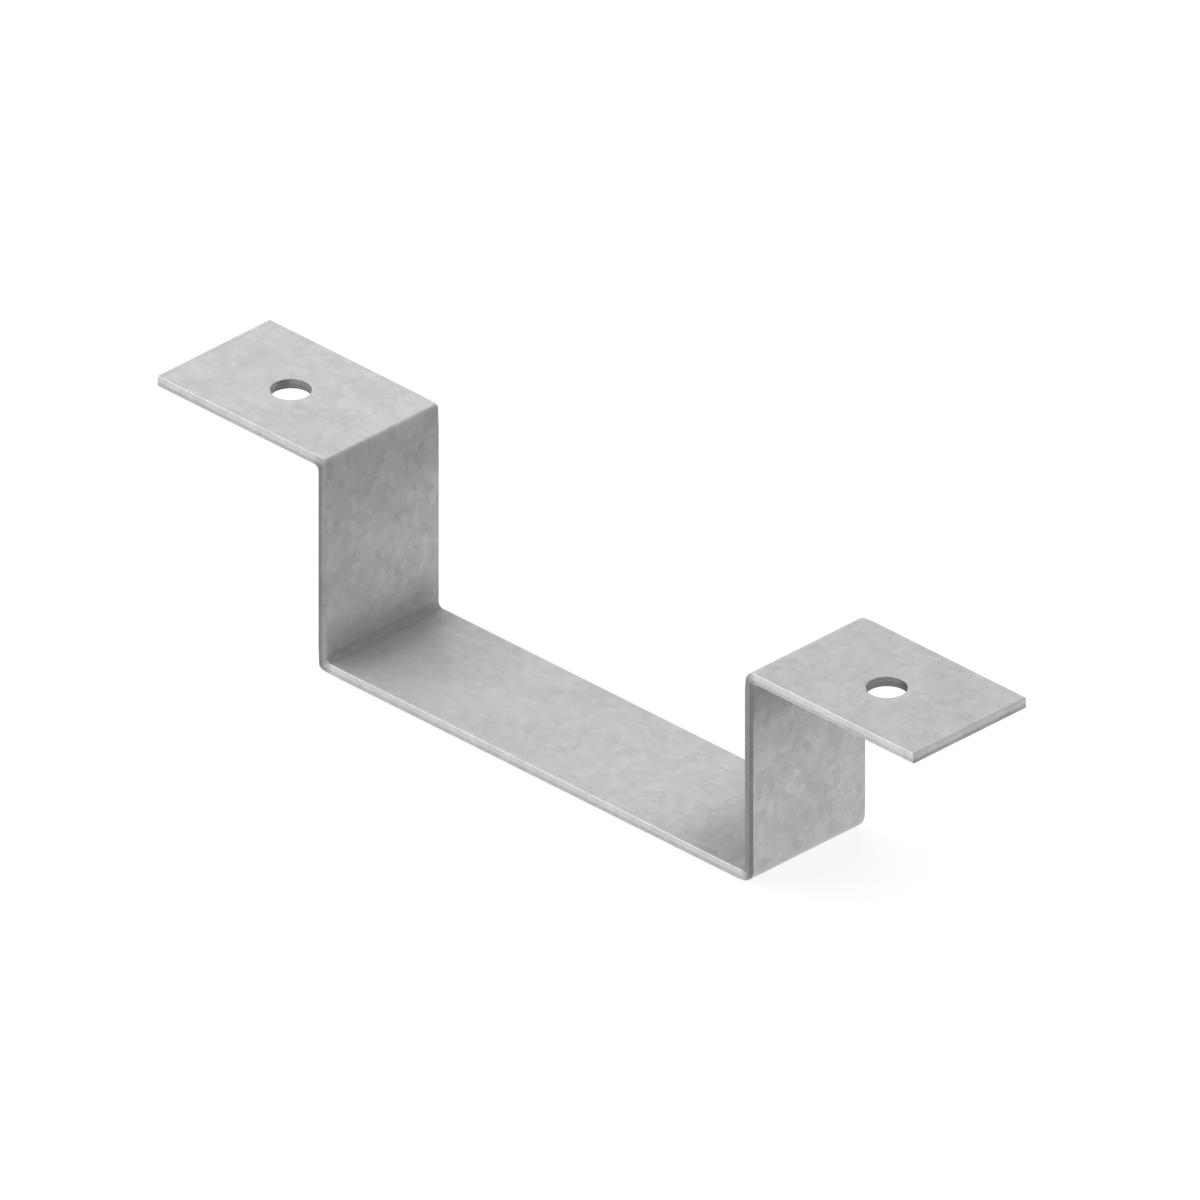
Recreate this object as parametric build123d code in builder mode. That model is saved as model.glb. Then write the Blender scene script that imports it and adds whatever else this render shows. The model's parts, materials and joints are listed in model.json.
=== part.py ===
from build123d import *
import os

# U bracket: one strip of galvanised sheet steel, folded four times into a hat
# section. A flat base hangs between two upright webs, and a flange turns
# outwards from the top of each web, with one bolt hole in it.
#
# Frame: millimetres, +Z up, +X along the bracket from the left flange to the
# right one, +Y across the strip to its back edge. The origin is the middle of
# the underside of the base.

os.makedirs("parts", exist_ok=True)

# Strip
sheet = 3.0                 # thickness
strip_width = 40.0          # front edge to back edge

# Folded outline
web_span = 154.0            # outer face of one web to outer face of the other
rise = 61.5                 # underside of the base to the top of the flanges
flange_reach = 60.0         # tip of a flange to the inner face of its web

# Folds. All were struck over the same nose. Three were struck square on the
# outside, and the one at the foot of the right web was left round.
fold_inner = 1.5            # radius inside all four folds
flange_fold_outer = 1.0     # radius outside the folds at the flanges
left_foot_outer = 1.5       # radius outside the fold at the foot of the left web
right_foot_outer = 4.5      # radius outside the fold at the foot of the right web

# Punched holes, one in each flange
hole_diameter = 10.5        # clears an M10 bolt
hole_from_tip = 28.5        # centre to the tip of its flange
hole_off_middle = -1.0      # centre off the middle of the strip, towards its front edge
hole_rim = 0.4              # rounding where the punch entered and left

# Sheared edges of the strip, rounded under their zinc
edge_rounding = 0.5

# Values that follow
web_outer = web_span / 2
web_inner = web_outer - sheet
flange_tip = web_inner + flange_reach
flange_underside = rise - sheet
hole_x = flange_tip - hole_from_tip

with BuildPart() as u_bracket:
    # The strip's section along its length: the lower and outer skin, and the
    # upper and inner one, each with its own radius at every fold.
    with BuildSketch(Plane.XZ):
        with BuildLine():
            lower = FilletPolyline(
                (-flange_tip, flange_underside),
                (-web_outer, flange_underside),
                (-web_outer, 0),
                (web_outer, 0),
                (web_outer, flange_underside),
                (flange_tip, flange_underside),
                radius=[fold_inner, left_foot_outer, right_foot_outer, fold_inner],
            )
            upper = FilletPolyline(
                (-flange_tip, rise),
                (-web_inner, rise),
                (-web_inner, sheet),
                (web_inner, sheet),
                (web_inner, rise),
                (flange_tip, rise),
                radius=[flange_fold_outer, fold_inner, fold_inner, flange_fold_outer],
            )
            Line(lower @ 0, upper @ 0)
            Line(lower @ 1, upper @ 1)
        make_face()
    extrude(amount=strip_width / 2, both=True)

    # Round every sheared edge: the loops along both sides and the two ends.
    side_loops = u_bracket.faces().filter_by(Axis.Y).edges()
    across = u_bracket.edges().filter_by(Axis.Y).group_by(Axis.X)
    fillet(side_loops + across[0] + across[-1], radius=edge_rounding)

    # Punch both flanges from above, and round the rims.
    with Locations((-hole_x, hole_off_middle, rise), (hole_x, hole_off_middle, rise)):
        Hole(radius=hole_diameter / 2, depth=sheet)
    rims = u_bracket.edges(Select.LAST).filter_by(GeomType.CIRCLE)
    fillet(rims, radius=hole_rim)

u_bracket.part.label = "u_bracket"
export_step(u_bracket.part, "parts/u_bracket.step")
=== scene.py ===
import json
import math

import bmesh
import bpy
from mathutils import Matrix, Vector, noise


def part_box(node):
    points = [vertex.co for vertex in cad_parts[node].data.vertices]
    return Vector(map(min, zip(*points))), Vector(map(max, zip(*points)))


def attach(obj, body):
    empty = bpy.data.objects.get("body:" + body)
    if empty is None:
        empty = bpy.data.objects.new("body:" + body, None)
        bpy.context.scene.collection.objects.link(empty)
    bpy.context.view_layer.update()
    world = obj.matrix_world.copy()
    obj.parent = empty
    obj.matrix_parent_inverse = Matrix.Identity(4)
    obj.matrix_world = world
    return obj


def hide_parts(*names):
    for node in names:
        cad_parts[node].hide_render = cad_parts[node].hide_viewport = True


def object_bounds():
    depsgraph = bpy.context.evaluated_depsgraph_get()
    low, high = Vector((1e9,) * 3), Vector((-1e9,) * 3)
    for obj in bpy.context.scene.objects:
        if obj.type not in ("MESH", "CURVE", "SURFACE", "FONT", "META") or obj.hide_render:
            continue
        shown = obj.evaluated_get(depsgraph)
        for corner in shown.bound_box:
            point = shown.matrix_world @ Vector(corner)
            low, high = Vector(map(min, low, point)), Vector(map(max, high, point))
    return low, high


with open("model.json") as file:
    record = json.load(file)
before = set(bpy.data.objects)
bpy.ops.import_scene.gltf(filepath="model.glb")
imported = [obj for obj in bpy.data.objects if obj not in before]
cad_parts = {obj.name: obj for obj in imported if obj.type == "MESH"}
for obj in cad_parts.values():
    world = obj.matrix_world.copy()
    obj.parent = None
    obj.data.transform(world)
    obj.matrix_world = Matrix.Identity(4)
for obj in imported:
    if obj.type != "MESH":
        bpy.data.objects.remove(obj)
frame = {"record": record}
cadLow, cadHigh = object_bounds()
mounts = {mount["name"]: mount for mount in frame["record"]["mounts"]}
print("frame loaded:", [round(side, 4) for side in cadHigh - cadLow])


# The strip. Lengths are in metres, and a pair of radii is for the left side and the right one.
strip = {
    "webSpan": 0.154,                    # outer face of one web to outer face of the other
    "foldInner": 0.0015,                 # radius inside all four folds
    "flangeFoldOuter": (0.001, 0.0037),  # radius outside the fold at each flange
    "footOuter": (0.0015, 0.0045),       # radius outside the fold at the foot of each web
    "foldSteps": 20,                     # facets round each fold
    "foldEnds": 0.25,                    # share of those facets in the straight part at each end of a fold
    "step": 0.001,                       # spacing of the rings along the straight runs
    "columns": (13, 24, 16),             # faces across: in front of the holes, beside them, behind them
    "sharpAngle": 60,                    # degrees; an edge that turns further than this is rounded
    "edgeRounding": 0.0003,              # rounding along every sheared edge
    "edgeSegments": 6,                   # facets in that rounding
    "edgeWaver": 0.00006,                # how far the sheared edges wander, always inwards
    "waverAlong": 130,                   # how quickly they wander along the edge, and through the sheet
    "waverThrough": 260,
    "sideBand": 0.2,                     # share of the half width that follows a wandering side
    "tipBand": 0.003,                    # length of strip that follows a wandering tip
    "foldDraw": 0.00022,                 # how far the stretched outside of a fold pulls its edges in
    "foldReach": 0.005,                  # how far along the strip that is felt
    "mapScale": 10,                      # size of the grain map: a metre is this many of its units
}
nearly = 1e-6  # metres; anything closer is the same place


def stripSizes():
    low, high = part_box("u_bracket")
    holes = mounts["flange_holes"]
    return {
        "tip": high.x,
        "halfWidth": high.y,
        "rise": high.z,
        "sheet": mounts["base_seat"]["pos_m"][2],
        "holeX": holes["dims"]["spacing_x_mm"] / 2000,
        "holeY": holes["pos_m"][1],
        "holeRadius": holes["dims"]["hole_r_mm"] / 1000,
    }


sizes = stripSizes()


def foldSizes():
    # centres of the right base fold (low) and right flange fold (high), and the strip that each takes up
    sheet, inner, outer = sizes["sheet"], strip["foldInner"], strip["webSpan"] / 2
    low = Vector((outer - sheet - inner, 0, sheet + inner))
    high = Vector((outer + inner, 0, sizes["rise"] - sheet - inner))
    bend = (inner + sheet / 2) * math.pi / 2
    webStart = low.x + bend
    return {"low": low, "high": high, "bend": bend, "webStart": webStart, "webEnd": webStart + high.z - low.z}


folds = foldSizes()
# where the tip lay on the flat strip
sizes["flatTip"] = folds["webEnd"] + folds["bend"] + sizes["tip"] - folds["high"].x


def newEdges(made, within):
    return [item for item in made if isinstance(item, bmesh.types.BMEdge) and within.issuperset(item.verts)]


def loopVerts(loop):
    return list(dict.fromkeys(vert for edge in loop for vert in edge.verts))


def pushLoop(bm, loop, move, steps):
    for _ in range(steps):
        made = bmesh.ops.extrude_edge_only(bm, edges=loop)["geom"]
        verts = {item for item in made if isinstance(item, bmesh.types.BMVert)}
        bmesh.ops.translate(bm, verts=list(verts), vec=move / steps)
        loop = newEdges(made, verts)
    return loop


def turnLoop(bm, loop, centre, angle):
    made = bmesh.ops.spin(bm, geom=loopVerts(loop) + loop, cent=centre, axis=(0, 1, 0), dvec=(0, 0, 0),
                          angle=angle, steps=strip["foldSteps"], use_merge=False, use_normal_flip=False,
                          use_duplicate=False)
    return [item for item in made["geom_last"] if isinstance(item, bmesh.types.BMEdge)]


def sectionLoop(bm):
    # the outline of the strip's section at the left tip, with even columns beside the holes
    halfWidth, holeY, zone = sizes["halfWidth"], sizes["holeY"], hole["zone"]
    places = [-halfWidth, holeY - zone, holeY + zone, halfWidth]
    spread = []
    for low, high, count in zip(places, places[1:], strip["columns"]):
        spread += [low + (high - low) * i / count for i in range(count)]
    spread.append(places[-1])
    verts = bmesh.ops.create_grid(bm, x_segments=len(spread) - 1, y_segments=1, size=0.5)["verts"]
    for vert in verts:
        column = round((vert.co.x + 0.5) * (len(spread) - 1))
        height = sizes["rise"] if vert.co.y > 0 else sizes["rise"] - sizes["sheet"]
        vert.co = Vector((-sizes["tip"], spread[column], height))
    inner = [edge for edge in bm.edges if len(edge.link_faces) == 2]
    bmesh.ops.delete(bm, geom=list(bm.faces), context="FACES_ONLY")
    bmesh.ops.delete(bm, geom=inner, context="EDGES")
    return list(bm.edges)


def sweepStrip(bm):
    # from the left tip to the right one: straight runs, and a quarter turn at each fold
    low, high = folds["low"], folds["high"]
    flip = Vector((-1, 1, 1))
    quarter = math.pi / 2
    tip, holeX, zone = sizes["tip"], sizes["holeX"], hole["zone"]
    outerRun, innerRun = tip - holeX - zone, holeX - zone - high.x
    web, base = high.z - low.z, 2 * low.x

    def steps(length):
        return max(1, round(length / strip["step"]))

    loop = sectionLoop(bm)
    loop = pushLoop(bm, loop, Vector((outerRun, 0, 0)), steps(outerRun))
    loop = pushLoop(bm, loop, Vector((2 * zone, 0, 0)), strip["columns"][1])
    loop = pushLoop(bm, loop, Vector((innerRun, 0, 0)), steps(innerRun))
    loop = turnLoop(bm, loop, high * flip, quarter)
    loop = pushLoop(bm, loop, Vector((0, 0, -web)), steps(web))
    loop = turnLoop(bm, loop, low * flip, -quarter)
    loop = pushLoop(bm, loop, Vector((base, 0, 0)), steps(base))
    loop = turnLoop(bm, loop, low, -quarter)
    loop = pushLoop(bm, loop, Vector((0, 0, web)), steps(web))
    loop = turnLoop(bm, loop, high, quarter)
    loop = pushLoop(bm, loop, Vector((innerRun, 0, 0)), steps(innerRun))
    loop = pushLoop(bm, loop, Vector((2 * zone, 0, 0)), strip["columns"][1])
    pushLoop(bm, loop, Vector((outerRun, 0, 0)), steps(outerRun))

    for x in (-tip, tip):  # close both tips, one face to a column
        rail = [edge for edge in bm.edges if edge.is_boundary and abs(edge.verts[0].co.x - x) < nearly
                and abs(edge.verts[0].co.z - edge.verts[1].co.z) < nearly]
        bmesh.ops.bridge_loops(bm, edges=rail)
    bmesh.ops.recalc_face_normals(bm, faces=list(bm.faces))


def roundEdges(bm):
    sharp = [edge for edge in bm.edges if edge.calc_face_angle(0) > math.radians(strip["sharpAngle"])]
    bmesh.ops.bevel(bm, geom=sharp, offset=strip["edgeRounding"], offset_type="OFFSET",
                    segments=strip["edgeSegments"], profile=0.5, affect="EDGES", clamp_overlap=False,
                    material=-1)


# The punched holes: rolled over at the top, burnished half way down, torn open below
hole = {
    "zone": 0.009,             # half the square of mesh that each hole is cut in
    "easing": (0.35, 0.6),     # rings between that square and the circle, as shares of the way
    "dishReach": 0.0017,       # how far round the hole the punch dragged the face down
    "dishDepth": 0.00006,      # and how far down
    "dishCurve": ((1, 0), (0.6, 0.16), (0.25, 0.56)),  # rings of the dish, as shares of those two
    "topRim": 0.00025,         # radius of the rolled edge at the top
    "lowerRim": 0.0002,
    "rimSegments": 5,
    "burnished": 0.45,         # share of the wall that the punch left smooth
    "tearTaper": 0.00012,      # how much the radius grows where the wall tore
    "tearStart": (0.7, 0.12),  # most of that growth, and the share of the wall that it takes
    "marks": 0.2,              # how strongly the lines down the wall show
    "drawnOut": 0.2,           # how far they stretch a highlight across them
    # darker tones of the walls: partly the cut steel, partly painted shade inside each hole
    "runs": {"Left Flange": 0.58, "Right Flange": 0.47},
}


def wallProfile():
    # radius and height of each ring, from the dished face down the wall to the underside
    radius, top, bottom = sizes["holeRadius"], sizes["rise"], sizes["rise"] - sizes["sheet"]
    rim, reach, dish = hole["topRim"], hole["dishReach"], hole["dishDepth"]
    profile = [(radius + rim + reach * out, top - dish * down) for out, down in hole["dishCurve"]]
    for i in range(hole["rimSegments"] + 1):
        turn = math.pi / 2 * i / hole["rimSegments"]
        profile.append((radius + rim * (1 - math.sin(turn)), top - dish - rim * (1 - math.cos(turn))))
    profile.append((radius, top - hole["burnished"] * sizes["sheet"]))
    growth, share = hole["tearStart"]
    profile.append((radius + hole["tearTaper"] * growth, top - (hole["burnished"] + share) * sizes["sheet"]))
    opened, rim = radius + hole["tearTaper"], hole["lowerRim"]
    for i in range(hole["rimSegments"] + 1):
        turn = math.pi / 2 * i / hole["rimSegments"]
        profile.append((opened + rim * (1 - math.cos(turn)), bottom + rim * (1 - math.sin(turn))))
    return profile


def drawRing(bm, ring, centre, radius, height, share=1.0):
    # a new ring of faces, pulled this share of the way from the last ring's outline to a circle
    made = bmesh.ops.extrude_edge_only(bm, edges=ring)["geom"]
    verts = {item for item in made if isinstance(item, bmesh.types.BMVert)}
    for vert in verts:
        out = Vector((vert.co.x, vert.co.y, 0)) - centre
        reach = out.length + (radius - out.length) * share
        vert.co = centre + out.normalized() * reach + Vector((0, 0, height))
    return newEdges(made, verts)


def punchHole(bm, x):
    centre = Vector((x, sizes["holeY"], 0))
    level = 0.9  # a face whose normal is steeper than this lies flat
    inside = []
    for face in bm.faces:
        away = face.calc_center_median() - centre
        if abs(face.normal.z) > level and max(abs(away.x), abs(away.y)) < hole["zone"]:
            inside.append(face)
    bmesh.ops.delete(bm, geom=inside, context="FACES")
    rings = [edge for edge in bm.edges if edge.is_boundary]
    top, bottom = sizes["rise"], sizes["rise"] - sizes["sheet"]
    upper = [edge for edge in rings if edge.verts[0].co.z > (top + bottom) / 2]
    lower = [edge for edge in rings if edge.verts[0].co.z < (top + bottom) / 2]
    profile = wallProfile()
    for share in hole["easing"]:
        upper = drawRing(bm, upper, centre, profile[0][0], top, share)
        lower = drawRing(bm, lower, centre, profile[-1][0], bottom, share)
    for radius, height in profile:
        upper = drawRing(bm, upper, centre, radius, height)
    lower = drawRing(bm, lower, centre, profile[-1][0], bottom)
    bmesh.ops.remove_doubles(bm, verts=loopVerts(upper + lower), dist=2 * nearly)


def runPlace(point):
    # a point of the folded strip as its place on the flat one: along it, across it and through the sheet
    low, high = folds["low"], folds["high"]
    quarter = math.pi / 2
    x, z = abs(point.x), point.z
    if x > high.x:  # on a flange
        along, depth = folds["webEnd"] + folds["bend"] + x - high.x, z - (sizes["rise"] - sizes["sheet"])
    elif z > high.z:  # in the fold under a flange
        turn = math.atan2(z - high.z, high.x - x)
        along = folds["webEnd"] + folds["bend"] * turn / quarter
        depth = math.hypot(high.x - x, z - high.z) - strip["foldInner"]
    elif z > low.z:  # on a web
        along, depth = folds["webStart"] + z - low.z, strip["webSpan"] / 2 - x
    elif x > low.x:  # in a fold at the base
        turn = math.atan2(x - low.x, low.z - z)
        along, depth = low.x + folds["bend"] * turn / quarter, low.z - math.hypot(x - low.x, low.z - z)
    else:
        along, depth = x, z
    return Vector((math.copysign(along, point.x), point.y, depth))


def squareFold(point):
    # the strip is swept round its folds, and here the outside of each fold is brought to its own radius
    low, high = folds["low"], folds["high"]
    side = math.copysign(1, point.x)
    x, z = abs(point.x), point.z
    if z > high.z and x < high.x:
        centre, start, end = high, Vector((-1, 0, 0)), Vector((0, 0, 1))
        outer = strip["flangeFoldOuter"][side > 0]
    elif z < low.z and x > low.x:
        centre, start, end = low, Vector((0, 0, -1)), Vector((1, 0, 0))
        outer = strip["footOuter"][side > 0]
    else:
        return point
    inner, sheet, ends = strip["foldInner"], sizes["sheet"], strip["foldEnds"]
    away = Vector((x, 0, z)) - centre
    turn = math.atan2(away.dot(end), away.dot(start))
    depth = (away.length - inner) / sheet
    straight = inner + sheet - outer
    share = turn / (math.pi / 2)
    if straight < nearly:
        return point
    if share < ends:
        corner = start * (inner + sheet) + end * straight * share / ends
    elif share > 1 - ends:
        corner = end * (inner + sheet) + start * straight * (1 - share) / ends
    else:
        swing = (share - ends) / (1 - 2 * ends) * math.pi / 2
        corner = (start + end) * straight + (start * math.cos(swing) + end * math.sin(swing)) * outer
    near = (start * math.cos(turn) + end * math.sin(turn)) * inner
    moved = centre + near.lerp(corner, depth)
    return Vector((moved.x * side, point.y, moved.z))


def foldPull(place):
    # 1 at the edge of a fold's stretched outside, fading along the strip and through the sheet
    middles = (folds["webStart"] - folds["bend"] / 2, folds["webEnd"] + folds["bend"] / 2)
    outside = (1 - place.z / sizes["sheet"], place.z / sizes["sheet"])
    pull = 0
    for middle, out in zip(middles, outside):
        near = max(0, 1 - abs(abs(place.x) - middle) / strip["foldReach"])
        pull = max(pull, near * near * (3 - 2 * near) * max(0, out))
    return pull


def workEdges(bm):
    # the sheared edges wander a little, and draw in where a fold stretches them
    band, along, through = strip["sideBand"], strip["waverAlong"], strip["waverThrough"]
    sideNoise, tipNoise = 7, 3  # each edge wanders by its own slice of the noise
    for vert in bm.verts:
        near = (abs(vert.co.y) / sizes["halfWidth"] - (1 - band)) / band
        if near > 0:
            place = runPlace(vert.co)
            side = math.copysign(1, vert.co.y)
            waver = noise.noise(Vector((place.x * along, side * sideNoise, place.z * through)))
            pull = strip["edgeWaver"] * (0.5 + 0.5 * waver) + strip["foldDraw"] * foldPull(place)
            vert.co.y -= side * pull * near
        near = (abs(vert.co.x) - sizes["tip"]) / strip["tipBand"] + 1
        if near > 0:
            side = math.copysign(1, vert.co.x)
            waver = noise.noise(Vector((vert.co.y * along, vert.co.z * through, side * tipNoise)))
            vert.co.x -= side * strip["edgeWaver"] * (0.5 + 0.5 * waver) * near


def edgeKind(face):
    # 0 the skin, 1 a sheared side, 2 a sheared tip, 3 the wall of a hole
    middle = face.calc_center_median()
    away = math.hypot(abs(middle.x) - sizes["holeX"], middle.y - sizes["holeY"])
    wallEnd = sizes["holeRadius"] + hole["tearTaper"] * 1.2
    wallTop = sizes["rise"] - hole["topRim"] * 0.9
    tipStart, sideStart = sizes["tip"] - strip["edgeRounding"], sizes["halfWidth"] * 0.95
    outwards = 0.6  # a sheared face looks outwards at least this much
    if away < wallEnd and middle.z < wallTop:
        return 3
    if abs(middle.x) > tipStart and abs(face.normal.x) > outwards:
        return 2
    if abs(middle.y) > sideStart and abs(face.normal.y) > outwards:
        return 1
    return 0


def aroundSection(place):
    # distance round the strip's section, across its top face, down its edge and back
    half = sizes["sheet"] / 2
    flat = sizes["halfWidth"] - half
    beyond = max(0, abs(place.y) - flat)
    turn = math.pi / 2 - math.atan2(place.z - half, beyond)
    side = min(abs(place.y), flat) if place.z > half else math.pi * half + 2 * flat - min(abs(place.y), flat)
    return math.copysign(flat + turn * half if beyond > 0 else side, place.y)


def writeMaps(mesh, kinds, places):
    # flatPlace: where each point lay on the flat strip. grain: a map whose first axis crosses the tool marks
    flat = mesh.attributes.new("flatPlace", "FLOAT_VECTOR", "POINT")
    flat.data.foreach_set("vector", [value for place in places for value in place])
    grain = mesh.uv_layers.new(name="grain")
    for polygon, kind in zip(mesh.polygons, kinds):
        centre = Vector((math.copysign(sizes["holeX"], polygon.center.x), sizes["holeY"], 0))
        middle = polygon.center - centre
        for loopIndex in polygon.loop_indices:
            index = mesh.loops[loopIndex].vertex_index
            point, place = mesh.vertices[index].co, places[index]
            if kind == 3:
                out = point - centre
                turn = math.atan2(middle.x * out.y - middle.y * out.x, middle.x * out.x + middle.y * out.y)
                pair = ((math.atan2(middle.y, middle.x) + turn) * sizes["holeRadius"], point.z)
            elif kind == 2:
                pair = (point.z, point.y)
            else:
                pair = (aroundSection(place), place.x)
            grain.data[loopIndex].uv = (pair[0] * strip["mapScale"], pair[1] * strip["mapScale"])


def foldedStrip():
    bm = bmesh.new()
    sweepStrip(bm)
    roundEdges(bm)
    for x in (-sizes["holeX"], sizes["holeX"]):
        punchHole(bm, x)
    bmesh.ops.recalc_face_normals(bm, faces=list(bm.faces))
    kinds = [edgeKind(face) for face in bm.faces]
    for face, kind in zip(bm.faces, kinds):
        face.smooth = True
        face.material_index = (0, 1, 1, 2)[kind]  # skin, sheared edge, sheared edge, punched wall
    workEdges(bm)
    places = [runPlace(vert.co) for vert in bm.verts]
    lowest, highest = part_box("u_bracket")
    for vert in bm.verts:  # nothing stands proud of the true sizes
        point = squareFold(vert.co)
        vert.co = Vector([min(max(value, low), high) for value, low, high in zip(point, lowest, highest)])
    openEdges = sum(not edge.is_manifold for edge in bm.edges)
    mesh = bpy.data.meshes.new("foldedStrip")
    bm.to_mesh(mesh)
    bm.free()
    writeMaps(mesh, kinds, places)
    piece = bpy.data.objects.new("foldedStrip", mesh)
    bpy.context.scene.collection.objects.link(piece)
    flatten = piece.modifiers.new("keepFacesFlat", "WEIGHTED_NORMAL")
    flatten.weight = 80  # the wide faces decide how the narrow ones beside them are shaded
    print("folded strip:", len(mesh.polygons), "faces,", openEdges, "open edges")
    return piece


# Shader helpers
def fillInputs(tree, node, inputs):
    for key, value in inputs.items():
        if isinstance(value, bpy.types.NodeSocket):
            tree.links.new(value, node.inputs[key])
        else:
            node.inputs[key].default_value = value


def addNode(tree, kind, inputs=None, **settings):
    node = tree.nodes.new("ShaderNode" + kind)
    for key, value in settings.items():
        setattr(node, key, value)
    fillInputs(tree, node, inputs or {})
    return node


def sums(tree, operation, first, second=0.0, third=None, clamp=False):
    inputs = {0: first, 1: second}
    if third is not None:
        inputs[2] = third
    return addNode(tree, "Math", inputs, operation=operation, use_clamp=clamp).outputs[0]


def vectorSums(tree, operation, first, second):
    return addNode(tree, "VectorMath", {0: first, 1: second}, operation=operation).outputs[0]


def scaled(tree, vector, scale):
    return addNode(tree, "VectorMath", {0: vector, "Scale": scale}, operation="SCALE").outputs[0]


def blendColors(tree, share, first, second, kind="MIX", clamp=True):
    return addNode(tree, "Mix", {0: share, 6: first, 7: second}, data_type="RGBA", blend_type=kind,
                   clamp_factor=clamp).outputs[2]


def greyColor(tree, value):
    return addNode(tree, "CombineColor", {0: value, 1: value, 2: value}).outputs[0]


def spreadValue(tree, value, low, high, newLow, newHigh, smooth=False):
    inputs = {"Value": value, "From Min": low, "From Max": high, "To Min": newLow, "To Max": newHigh}
    return addNode(tree, "MapRange", inputs,
                   interpolation_type="SMOOTHSTEP" if smooth else "LINEAR").outputs[0]


def noiseAbout(tree, place, scale, detail=2.0, roughness=0.5, distortion=0.0):
    # noise that swings about nought
    inputs = {"Vector": place, "Scale": scale, "Detail": detail, "Roughness": roughness,
              "Distortion": distortion}
    return sums(tree, "SUBTRACT", addNode(tree, "TexNoise", inputs).outputs[0], 0.5)


def addUp(tree, layers, shares, total=0.0):
    # the layers that shares names, each by its share
    for name, share in shares.items():
        total = sums(tree, "MULTIPLY_ADD", layers[name], share, total)
    return total


def newGroup(name, inputs, outputs):
    group = bpy.data.node_groups.new(name, "ShaderNodeTree")
    for title, kind in inputs:
        group.interface.new_socket(title, in_out="INPUT", socket_type="NodeSocket" + kind)
    for title, kind in outputs:
        group.interface.new_socket(title, in_out="OUTPUT", socket_type="NodeSocket" + kind)
    return group, group.nodes.new("NodeGroupInput").outputs, group.nodes.new("NodeGroupOutput").inputs


def placeGroup(tree, group, inputs):
    node = tree.nodes.new("ShaderNodeGroup")
    node.node_tree = group
    fillInputs(tree, node, inputs)
    return node.outputs


# Zinc spangle: grains frozen at slightly different angles, with feathers inside them and cloudy patches
# over them. Sizes and heights are in millimetres, and a scale is so many to the millimetre.
spangle = {
    "waverScale": 0.75,           # how closely the outlines of the grains wander
    "waver": 2.2,                 # and how far
    "borderWidth": 0.09,          # of the seam between two grains, as a share of a grain
    "feather": (0.5, 3.4, 2.0),   # how drawn out a feather is, along and across
    "cloudScale": 0.11,           # wide patches
    "peelScale": 1.7,             # the fine unevenness of the coat
    "crumbScale": 0.16,           # the few specks that stand proud
    "crumbSize": (0.035, 0.075),  # top and foot of a speck, as shares of their spacing
    "warmScale": 0.05,            # patches that lean towards brown
    "warmRange": (0.4, 0.65),     # where the noise starts to warm them, and where they are warmest
    "warmShare": 0.3,
    "warmTint": (1.0, 0.975, 0.96, 1),
    # how much each layer adds to the tone, from dull to bright
    "tone": {"grainTone": 0.55, "feathers": 0.75, "clouds": 1.5, "peel": 0.3, "border": -0.16},
    "toneStart": 0.22,
    # and to the roughness, from smooth to rough
    "dullness": {"grainDullness": 0.6, "feathers": -0.6, "clouds": -0.8},
    "dullnessStart": 0.2,
    "height": {"facet": 0.045, "feathers": 0.012, "border": -0.006, "peel": 0.014, "crumb": 0.03},
}


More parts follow.
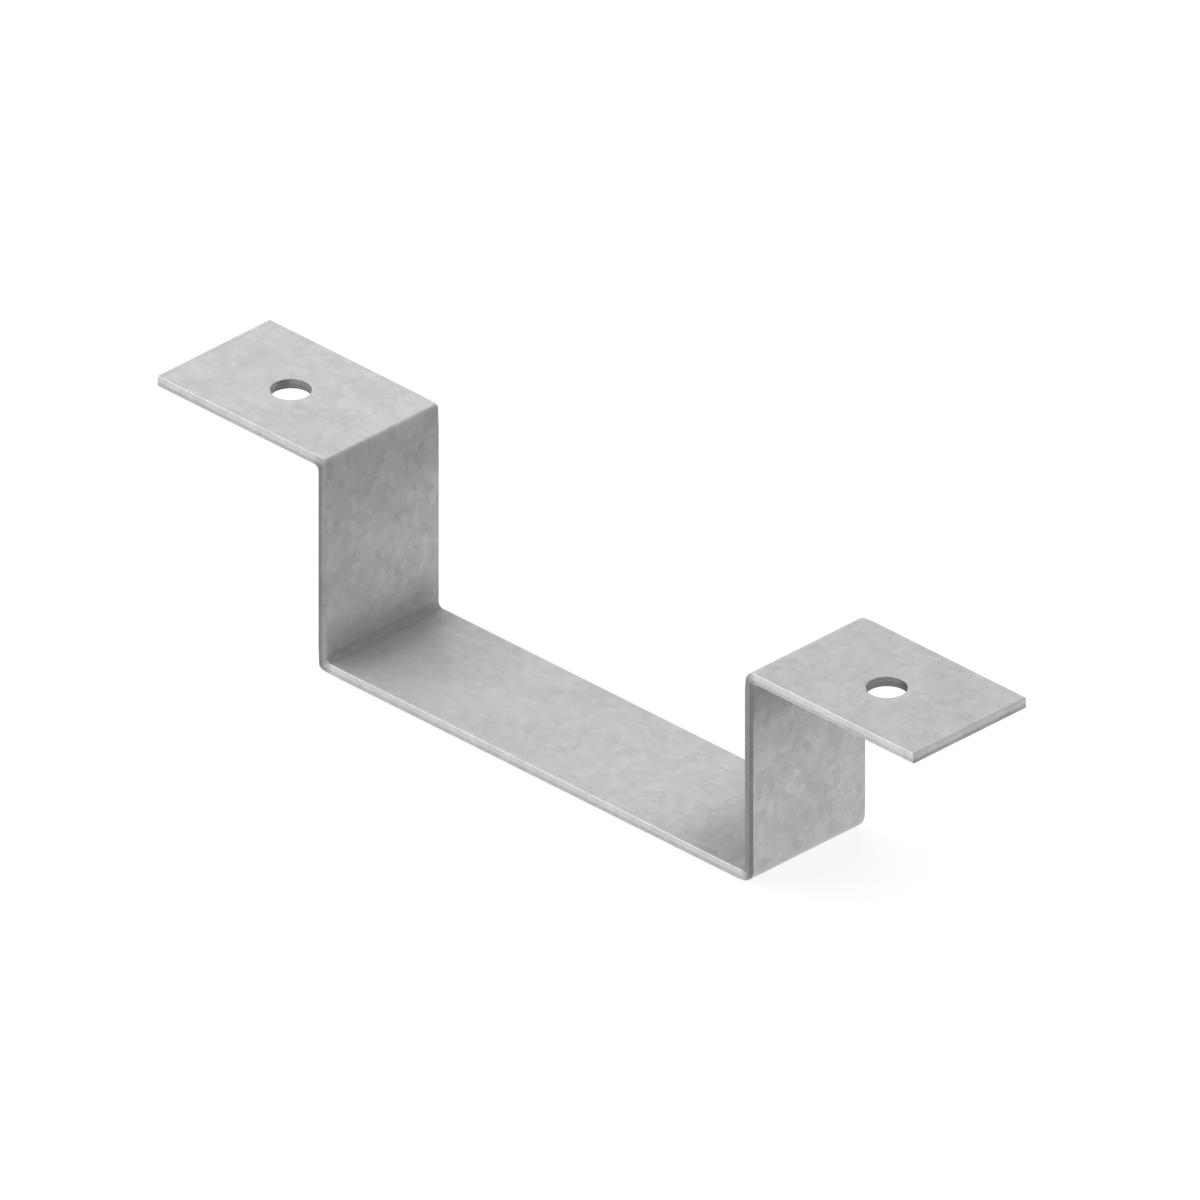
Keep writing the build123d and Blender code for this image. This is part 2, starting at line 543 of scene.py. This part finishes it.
def zincSpangle():
    group, given, made = newGroup(
        "zincSpangle",
        [("Place", "Vector"), ("Grain", "Float"), ("Bright", "Color"), ("Dull", "Color"),
         ("Smooth", "Float"), ("Rough", "Float"), ("Contrast", "Float")],
        [("Color", "Color"), ("Roughness", "Float"), ("Height", "Float")])
    middle = (0.5, 0.5, 0.5)
    millimetres = scaled(group, given["Place"], 1000.0)
    waver = addNode(group, "TexNoise", {"Vector": millimetres, "Scale": spangle["waverScale"], "Detail": 3.0,
                                        "Roughness": 0.6}).outputs["Color"]
    waver = scaled(group, vectorSums(group, "SUBTRACT", waver, middle), spangle["waver"])
    bent = vectorSums(group, "ADD", millimetres, waver)
    cells = {"Vector": bent, "Scale": sums(group, "DIVIDE", 1.0, given["Grain"]), "Randomness": 1.0}
    grains = addNode(group, "TexVoronoi", cells).outputs
    borders = addNode(group, "TexVoronoi", cells, feature="DISTANCE_TO_EDGE").outputs
    chance = addNode(group, "SeparateColor", {0: grains["Color"]}).outputs  # three random numbers for each

    # each grain is a facet with its own slope
    slope = vectorSums(group, "SUBTRACT", grains["Color"], middle)
    inGrain = vectorSums(group, "SUBTRACT", bent, grains["Position"])
    facet = addNode(group, "VectorMath", {0: slope, 1: inGrain}, operation="DOT_PRODUCT").outputs["Value"]

    # feathers run one way in each grain
    turn = sums(group, "MULTIPLY", chance[1], math.pi)
    turned = addNode(group, "VectorRotate", {"Vector": inGrain, "Axis": (0, 0, 1), "Angle": turn}).outputs[0]
    drawn = vectorSums(group, "MULTIPLY", turned, spangle["feather"])

    crumbs = addNode(group, "TexVoronoi", {"Vector": millimetres, "Scale": spangle["crumbScale"],
                                           "Randomness": 1.0}).outputs["Distance"]
    layers = {
        "grainTone": chance[0],
        "grainDullness": chance[2],
        "facet": facet,
        "border": spreadValue(group, borders["Distance"], 0.0, spangle["borderWidth"], 1.0, 0.0, smooth=True),
        "feathers": noiseAbout(group, drawn, 1.0, detail=3.0, roughness=0.55),
        "clouds": noiseAbout(group, millimetres, spangle["cloudScale"], detail=4.0, roughness=0.6,
                             distortion=0.4),
        "peel": noiseAbout(group, millimetres, spangle["peelScale"]),
        "crumb": spreadValue(group, crumbs, *spangle["crumbSize"], 1.0, 0.0, smooth=True),
    }

    tone = addUp(group, layers, spangle["tone"], spangle["toneStart"])
    tone = sums(group, "SUBTRACT", tone, 0.5)
    tone = sums(group, "MULTIPLY_ADD", tone, given["Contrast"], 0.5)
    color = blendColors(group, tone, given["Dull"], given["Bright"], clamp=False)
    warmth = addNode(group, "TexNoise", {"Vector": millimetres, "Scale": spangle["warmScale"]}).outputs[0]
    warmth = spreadValue(group, warmth, *spangle["warmRange"], 0.0, spangle["warmShare"], smooth=True)
    color = blendColors(group, warmth, color, spangle["warmTint"], kind="MULTIPLY")
    group.links.new(color, made["Color"])

    dullness = addUp(group, layers, spangle["dullness"], spangle["dullnessStart"])
    dullness = sums(group, "ADD", dullness, 0.0, clamp=True)
    span = sums(group, "SUBTRACT", given["Rough"], given["Smooth"])
    group.links.new(sums(group, "MULTIPLY_ADD", dullness, span, given["Smooth"]), made["Roughness"])
    group.links.new(addUp(group, layers, spangle["height"]), made["Height"])
    return group


# Tool marks of the shear and the punch: fine lines, smooth where the blade rubbed and ragged where the
# sheet tore. Heights are in millimetres.
toolMark = {
    "lines": (620.0, 6.0, 0.0),  # how fine the lines are across the grain map, and how short along it
    "ragScale": 0.7,             # of the ragged line where the tear starts
    "rag": 0.35,                 # how far that line wanders, as a share of the sheet
    "tearBlur": 0.05,            # how softly the tear starts, as a share of the sheet
    "pitScale": 3.2,             # of the pits in the torn part
    "tone": {"lines": 0.9, "torn": -0.55, "pits": 1.2},
    "height": {"lines": 0.02, "pits": 0.05},
}


def toolMarks():
    group, given, made = newGroup(
        "toolMarks",
        [("Place", "Vector"), ("Map", "Vector"), ("Sheet", "Float"), ("Tear", "Float"),
         ("Depth of Tone", "Float")],
        [("Tone", "Float"), ("Torn", "Float"), ("Height", "Float")])
    millimetres = scaled(group, given["Place"], 1000.0)
    lines = vectorSums(group, "MULTIPLY", given["Map"], toolMark["lines"])
    ragged = noiseAbout(group, millimetres, toolMark["ragScale"], detail=4.0, roughness=0.6)
    pits = noiseAbout(group, millimetres, toolMark["pitScale"], detail=3.0, roughness=0.7)
    depth = addNode(group, "SeparateXYZ", {0: given["Place"]}).outputs[2]
    depth = sums(group, "DIVIDE", depth, given["Sheet"])
    depth = sums(group, "MULTIPLY_ADD", ragged, toolMark["rag"], depth)
    past = sums(group, "SUBTRACT", depth, given["Tear"])
    torn = spreadValue(group, past, -toolMark["tearBlur"], toolMark["tearBlur"], 1.0, 0.0, smooth=True)
    layers = {
        "lines": noiseAbout(group, lines, 1.0, detail=3.0, roughness=0.65),
        "torn": torn,
        "pits": sums(group, "MULTIPLY", torn, pits),
    }
    tone = addUp(group, layers, toolMark["tone"])
    group.links.new(sums(group, "MULTIPLY_ADD", tone, given["Depth of Tone"], 1.0), made["Tone"])
    group.links.new(torn, made["Torn"])
    group.links.new(addUp(group, layers, toolMark["height"]), made["Height"])
    return group


# Light and shade are painted into the zinc's tone, run by run. Each run of the strip has its own tone,
# lighter or darker as the light falls on it, and a finish names those that aren't 1. Painted shade makes it
# darker towards the flanges and inside the folds. The first five follow each other along the strip, and the
# others lie over them.
runNames = ("Left Flange", "Left Web", "Base", "Right Web", "Right Flange", "Web Top", "Under Flange",
            "Left Foot", "Right Foot", "Foot Fold", "Base Left", "Tips")

# How far those tones reach. A pair is where it is full and where it is gone.
runReach = {
    "blur": 0.0012,               # metres each side of a fold's middle, where one run gives way to the next
    "topFace": (0.7, 0.4),        # shares of the sheet, up from its underside
    "Web Top": 0.45,              # gone at this share of the web's height
    "Under Flange": (1, 3.5),     # lengths of a fold from its middle, as are the next three
    "Left Foot": (1, 3),
    "Right Foot": (2, 8),
    "Foot Fold": (0.1, 0.8),
    "Base Left": (0.006, 0.024),  # metres from its own middle
    "baseLeftMiddle": 0.55,       # share of the way from the middle of the base to the left fold
    "Tips": (0.0003, 0.0006),     # metres from the end
}


def stripRuns():
    group, given, made = newGroup(
        "stripRuns",
        [("Place", "Vector")] + [(name, "Float") for name in runNames],
        [("Tone", "Float"), ("On Web", "Float")])
    place = addNode(group, "SeparateXYZ", {0: given["Place"]}).outputs
    bend, sheet, blur = folds["bend"], sizes["sheet"], runReach["blur"]
    foot, top = folds["webStart"] - bend / 2, folds["webEnd"] + bend / 2

    def fade(distance, full, gone):
        return spreadValue(group, distance, full, gone, 1.0, 0.0, smooth=True)

    def foldFade(distance, name):
        full, gone = runReach[name]
        return fade(distance, bend * full, bend * gone)

    def awayFrom(value, middle):
        return sums(group, "ABSOLUTE", sums(group, "SUBTRACT", value, middle))

    tone = given["Left Flange"]
    for middle, name in ((-top, "Left Web"), (-foot, "Base"), (foot, "Right Web"), (top, "Right Flange")):
        past = spreadValue(group, place[0], middle - blur, middle + blur, 0.0, 1.0, smooth=True)
        step = sums(group, "SUBTRACT", given[name], tone)
        tone = sums(group, "MULTIPLY_ADD", past, step, tone)

    along = sums(group, "ABSOLUTE", place[0])
    fromTop, fromFoot = awayFrom(along, top), awayFrom(along, foot)
    beforeTop, beforeFoot = fade(along, top - blur, top + blur), fade(along, foot - blur, foot + blur)
    full, gone = runReach["topFace"]
    upper = fade(place[2], sheet * full, sheet * gone)
    lower = sums(group, "SUBTRACT", 1.0, upper)
    left = sums(group, "MULTIPLY", upper, sums(group, "LESS_THAN", place[0], 0.0))
    right = sums(group, "MULTIPLY", upper, sums(group, "GREATER_THAN", place[0], 0.0))
    fromBaseLeft = awayFrom(place[0], -folds["low"].x * runReach["baseLeftMiddle"])
    fromTip = sums(group, "SUBTRACT", sizes["flatTip"], along)
    downWeb = fade(along, top - blur, foot + (top - foot) * runReach["Web Top"])
    masks = {
        # painted shade: the webs darker towards their tops
        "Web Top": sums(group, "MULTIPLY", downWeb, beforeTop),
        # painted shadow under the flanges, round the outside of their folds
        "Under Flange": sums(group, "MULTIPLY", lower, foldFade(fromTop, "Under Flange")),
        # painted shade in the corners at the feet of the webs, deeper and wider at the right one, and inside
        # both foot folds
        "Left Foot": sums(group, "MULTIPLY", left, foldFade(fromFoot, "Left Foot")),
        "Right Foot": sums(group, "MULTIPLY", right, foldFade(fromFoot, "Right Foot")),
        "Foot Fold": sums(group, "MULTIPLY", upper, foldFade(fromFoot, "Foot Fold")),
        # painted light on the left part of the base
        "Base Left": sums(group, "MULTIPLY", left, fade(fromBaseLeft, *runReach["Base Left"])),
        "Tips": fade(fromTip, *runReach["Tips"]),
    }
    for name, mask in masks.items():
        change = sums(group, "SUBTRACT", given[name], 1.0)
        tone = sums(group, "MULTIPLY", tone, sums(group, "MULTIPLY_ADD", mask, change, 1.0))
    group.links.new(tone, made["Tone"])
    group.links.new(sums(group, "SUBTRACT", beforeTop, beforeFoot), made["On Web"])
    return group


spangleGroup = zincSpangle()
marksGroup = toolMarks()
paintedLightGroup = stripRuns()


def placeSpangle(tree, place, finish, contrast):
    return placeGroup(tree, spangleGroup, {
        "Place": place, "Grain": finish["grain"], "Bright": finish["bright"], "Dull": finish["dull"],
        "Smooth": finish["smooth"], "Rough": finish["rough"], "Contrast": contrast})


def placePaintedLight(tree, place, runs):
    return placeGroup(tree, paintedLightGroup, {"Place": place, **dict.fromkeys(runNames, 1.0), **runs})


def newMetal(name):
    material = bpy.data.materials.new(name)
    material.use_nodes = True
    tree = material.node_tree
    shader = tree.nodes["Principled BSDF"]
    shader.inputs["Metallic"].default_value = 1.0
    place = addNode(tree, "Attribute", attribute_name="flatPlace").outputs["Vector"]
    return material, tree, shader, place


def bumpNormal(tree, height, strength):
    # heights come in millimetres
    return addNode(tree, "Bump", {"Strength": strength, "Distance": 0.001, "Height": height}).outputs[0]


# The faces of the strip
skin = {
    "grain": 2.3,        # mm across a spangle grain
    "bright": (0.667, 0.667, 0.67, 1),
    "dull": (0.607, 0.605, 0.604, 1),
    "smooth": 0.74,      # roughness of the smoothest zinc, and of the roughest
    "rough": 0.86,
    "relief": 0.85,      # how strongly the heights show
    "webContrast": 1.7,  # how much stronger the spangle shows on the webs
    # tones painted run by run for light and shade: below 1 is painted shade, above 1 is painted light
    "runs": {"Left Flange": 1.087, "Left Web": 0.96, "Base": 1.06, "Right Web": 0.98, "Web Top": 0.78,
             "Under Flange": 0.82, "Left Foot": 0.82, "Right Foot": 0.68, "Foot Fold": 0.78,
             "Base Left": 1.055},
}


def galvanisedSkin():
    material, tree, shader, place = newMetal("galvanisedSkin")
    runs = placePaintedLight(tree, place, skin["runs"])
    contrast = spreadValue(tree, runs["On Web"], 0.0, 1.0, 1.0, skin["webContrast"])
    zinc = placeSpangle(tree, place, skin, contrast)
    color = blendColors(tree, 1.0, zinc["Color"], greyColor(tree, runs["Tone"]), kind="MULTIPLY")
    tree.links.new(color, shader.inputs["Base Color"])
    tree.links.new(zinc["Roughness"], shader.inputs["Roughness"])
    tree.links.new(bumpNormal(tree, zinc["Height"], skin["relief"]), shader.inputs["Normal"])
    return material


# The sheared edges. The walls of the holes are the same metal, with the hole's own marks and tones; those
# tones are darker, partly as bare cut steel and partly as painted shade inside the holes.
edge = {
    "grain": 2.2,
    "bright": (0.52, 0.52, 0.521, 1),
    "dull": (0.45, 0.449, 0.448, 1),
    "smooth": 0.4,
    "rough": 0.5,
    "tornRough": 0.12,     # added to the roughness where the sheet tore
    "tear": 0.42,          # share of the sheet that tore, from its outer skin
    "marks": 0.3,          # how strongly the lines show
    "spangleRelief": 0.3,  # how much of the spangle's height is left under them
    "relief": 0.6,
    "drawnOut": 0.85,      # how far the lines stretch a highlight across them
    # painted shade darkens the edges of the webs, and painted light brightens those of the flanges and the
    # base
    "runs": {"Left Flange": 1.04, "Left Web": 0.7, "Base": 1.03, "Right Web": 0.6, "Right Flange": 1.08,
             "Tips": 0.95},
}


def shearedEdge(name, tear, cut):
    material, tree, shader, place = newMetal(name)
    zinc = placeSpangle(tree, place, edge, 1.0)
    lines = placeGroup(tree, marksGroup, {
        "Place": place, "Map": addNode(tree, "UVMap", uv_map="grain").outputs[0], "Sheet": sizes["sheet"],
        "Tear": tear, "Depth of Tone": cut["marks"]})
    tone = sums(tree, "MULTIPLY", lines["Tone"], placePaintedLight(tree, place, cut["runs"])["Tone"])
    color = blendColors(tree, 1.0, zinc["Color"], greyColor(tree, tone), kind="MULTIPLY")
    roughness = sums(tree, "MULTIPLY_ADD", lines["Torn"], edge["tornRough"], zinc["Roughness"])
    height = sums(tree, "MULTIPLY_ADD", zinc["Height"], edge["spangleRelief"], lines["Height"])
    tangent = addNode(tree, "Tangent", direction_type="UV_MAP", uv_map="grain").outputs[0]
    tree.links.new(color, shader.inputs["Base Color"])
    tree.links.new(roughness, shader.inputs["Roughness"])
    tree.links.new(bumpNormal(tree, height, edge["relief"]), shader.inputs["Normal"])
    tree.links.new(tangent, shader.inputs["Tangent"])
    shader.inputs["Anisotropic"].default_value = cut["drawnOut"]
    return material


bracket = foldedStrip()
bracket.data.materials.append(galvanisedSkin())
bracket.data.materials.append(shearedEdge("shearedEdge", edge["tear"], edge))
bracket.data.materials.append(shearedEdge("punchedWall", 1 - hole["burnished"], hole))
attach(bracket, "root")
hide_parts("u_bracket")
print("materials made:", len(bracket.data.materials))


# Stage: pale floor, soft light, and the camera
stage = {
    "floorHalf": 3.0,                     # metres
    "floorColor": (0.32, 0.32, 0.32, 1),
    "floorWhite": (0.75, 0.75, 0.75, 1),  # added where the camera or a bright face sees the floor
    "sky": 0.5,                           # light from every side
    "belowSky": 1.0,                      # seen only past the floor's underside
    "softboxPlace": (-0.5, 0.5, 0.6),
    "softboxSize": 0.5,
    "softboxPower": 0.48,
}

# Soft lights a long way off: direction round from +X and up from the floor in degrees, how tight, how strong
farLights = {
    "frontLeft": (225, 18, 10, 2.6),
    "front": (285, 18, 10, 0.5),
    "right": (22, 18, 7, 0.75),
    "left": (155, 18, 8, 0.4),
    "leftHigh": (195, 50, 14, 1.05),
    "backHigh": (135, 50, 14, 0.6),
    "overhead": (0, 90, 10, 0.15),
}


def paleFloor():
    bm = bmesh.new()
    bmesh.ops.create_grid(bm, x_segments=1, y_segments=1, size=stage["floorHalf"])
    mesh = bpy.data.meshes.new("floor")
    bm.to_mesh(mesh)
    bm.free()
    floor = bpy.data.objects.new("floor", mesh)
    bpy.context.scene.collection.objects.link(floor)
    material = bpy.data.materials.new("paleFloor")
    material.use_nodes = True
    tree = material.node_tree
    shader = tree.nodes["Principled BSDF"]
    shader.inputs["Base Color"].default_value = stage["floorColor"]
    shader.inputs["Roughness"].default_value = 1
    path = addNode(tree, "LightPath").outputs
    seen = sums(tree, "MAXIMUM", path["Is Camera Ray"], path["Is Glossy Ray"])
    seen = sums(tree, "MAXIMUM", seen, path["Is Transmission Ray"])
    white = blendColors(tree, seen, (0, 0, 0, 1), stage["floorWhite"])
    tree.links.new(white, shader.inputs["Emission Color"])
    shader.inputs["Emission Strength"].default_value = 1
    fromBelow = addNode(tree, "NewGeometry").outputs["Backfacing"]
    clear = addNode(tree, "BsdfTransparent").outputs[0]
    cover = addNode(tree, "MixShader", {0: fromBelow, 1: shader.outputs[0], 2: clear}).outputs[0]
    tree.links.new(cover, tree.nodes["Material Output"].inputs["Surface"])
    mesh.materials.append(material)


def softSky():
    world = bpy.data.worlds.new("softSky")
    bpy.context.scene.world = world
    world.use_nodes = True
    tree = world.node_tree
    direction = addNode(tree, "TexCoord").outputs["Generated"]
    light = stage["sky"]
    for around, up, tight, strong in farLights.values():
        around, up = math.radians(around), math.radians(up)
        axis = (math.cos(around) * math.cos(up), math.sin(around) * math.cos(up), math.sin(up))
        facing = addNode(tree, "VectorMath", {0: direction, 1: axis}, operation="DOT_PRODUCT")
        glow = sums(tree, "POWER", sums(tree, "MAXIMUM", facing.outputs["Value"], 0.0), float(tight))
        light = sums(tree, "MULTIPLY_ADD", glow, strong, light)
    height = addNode(tree, "SeparateXYZ", {0: direction}).outputs[2]
    below = sums(tree, "LESS_THAN", height, 0.0)
    light = sums(tree, "MAXIMUM", light, sums(tree, "MULTIPLY", below, stage["belowSky"]))
    tree.links.new(light, tree.nodes["Background"].inputs["Strength"])
    tree.nodes["Background"].inputs["Color"].default_value = (1, 1, 1, 1)


def areaLamp(name, place, size, power):
    light = bpy.data.lights.new(name, "AREA")
    light.shape = "SQUARE"
    light.size = size
    light.energy = power
    lamp = bpy.data.objects.new(name, light)
    lamp.location = place
    lamp.rotation_euler = (-Vector(place)).to_track_quat("-Z", "Y").to_euler()
    bpy.context.scene.collection.objects.link(lamp)


view = {
    "azimuth": 45,         # degrees round from the front, and up
    "elevation": 30,
    "width": 0.3005,       # what the frame spans
    "aimRight": 0.00205,   # aim from the middle of the object's box, across the view
    "aimUp": 0.01074,      # and up it
    "distance": 1.5,
    "clip": (0.01, 20),
}


def viewCamera():
    azimuth, elevation = math.radians(view["azimuth"]), math.radians(view["elevation"])
    back = Vector((math.sin(azimuth) * math.cos(elevation), -math.cos(azimuth) * math.cos(elevation),
                   math.sin(elevation)))
    turn = (-back).to_track_quat("-Z", "Y")
    aim = (cadLow + cadHigh) / 2 + turn @ Vector((view["aimRight"], view["aimUp"], 0))
    data = bpy.data.cameras.new("camera")
    data.type = "ORTHO"
    data.ortho_scale = view["width"]
    data.clip_start, data.clip_end = view["clip"]
    camera = bpy.data.objects.new("camera", data)
    camera.location = aim + back * view["distance"]
    camera.rotation_mode = "QUATERNION"
    camera.rotation_quaternion = turn
    bpy.context.scene.collection.objects.link(camera)
    bpy.context.scene.camera = camera


paleFloor()
softSky()
areaLamp("softbox", stage["softboxPlace"], stage["softboxSize"], stage["softboxPower"])
viewCamera()
bpy.context.scene.view_settings.view_transform = "Standard"
print("stage and camera made")
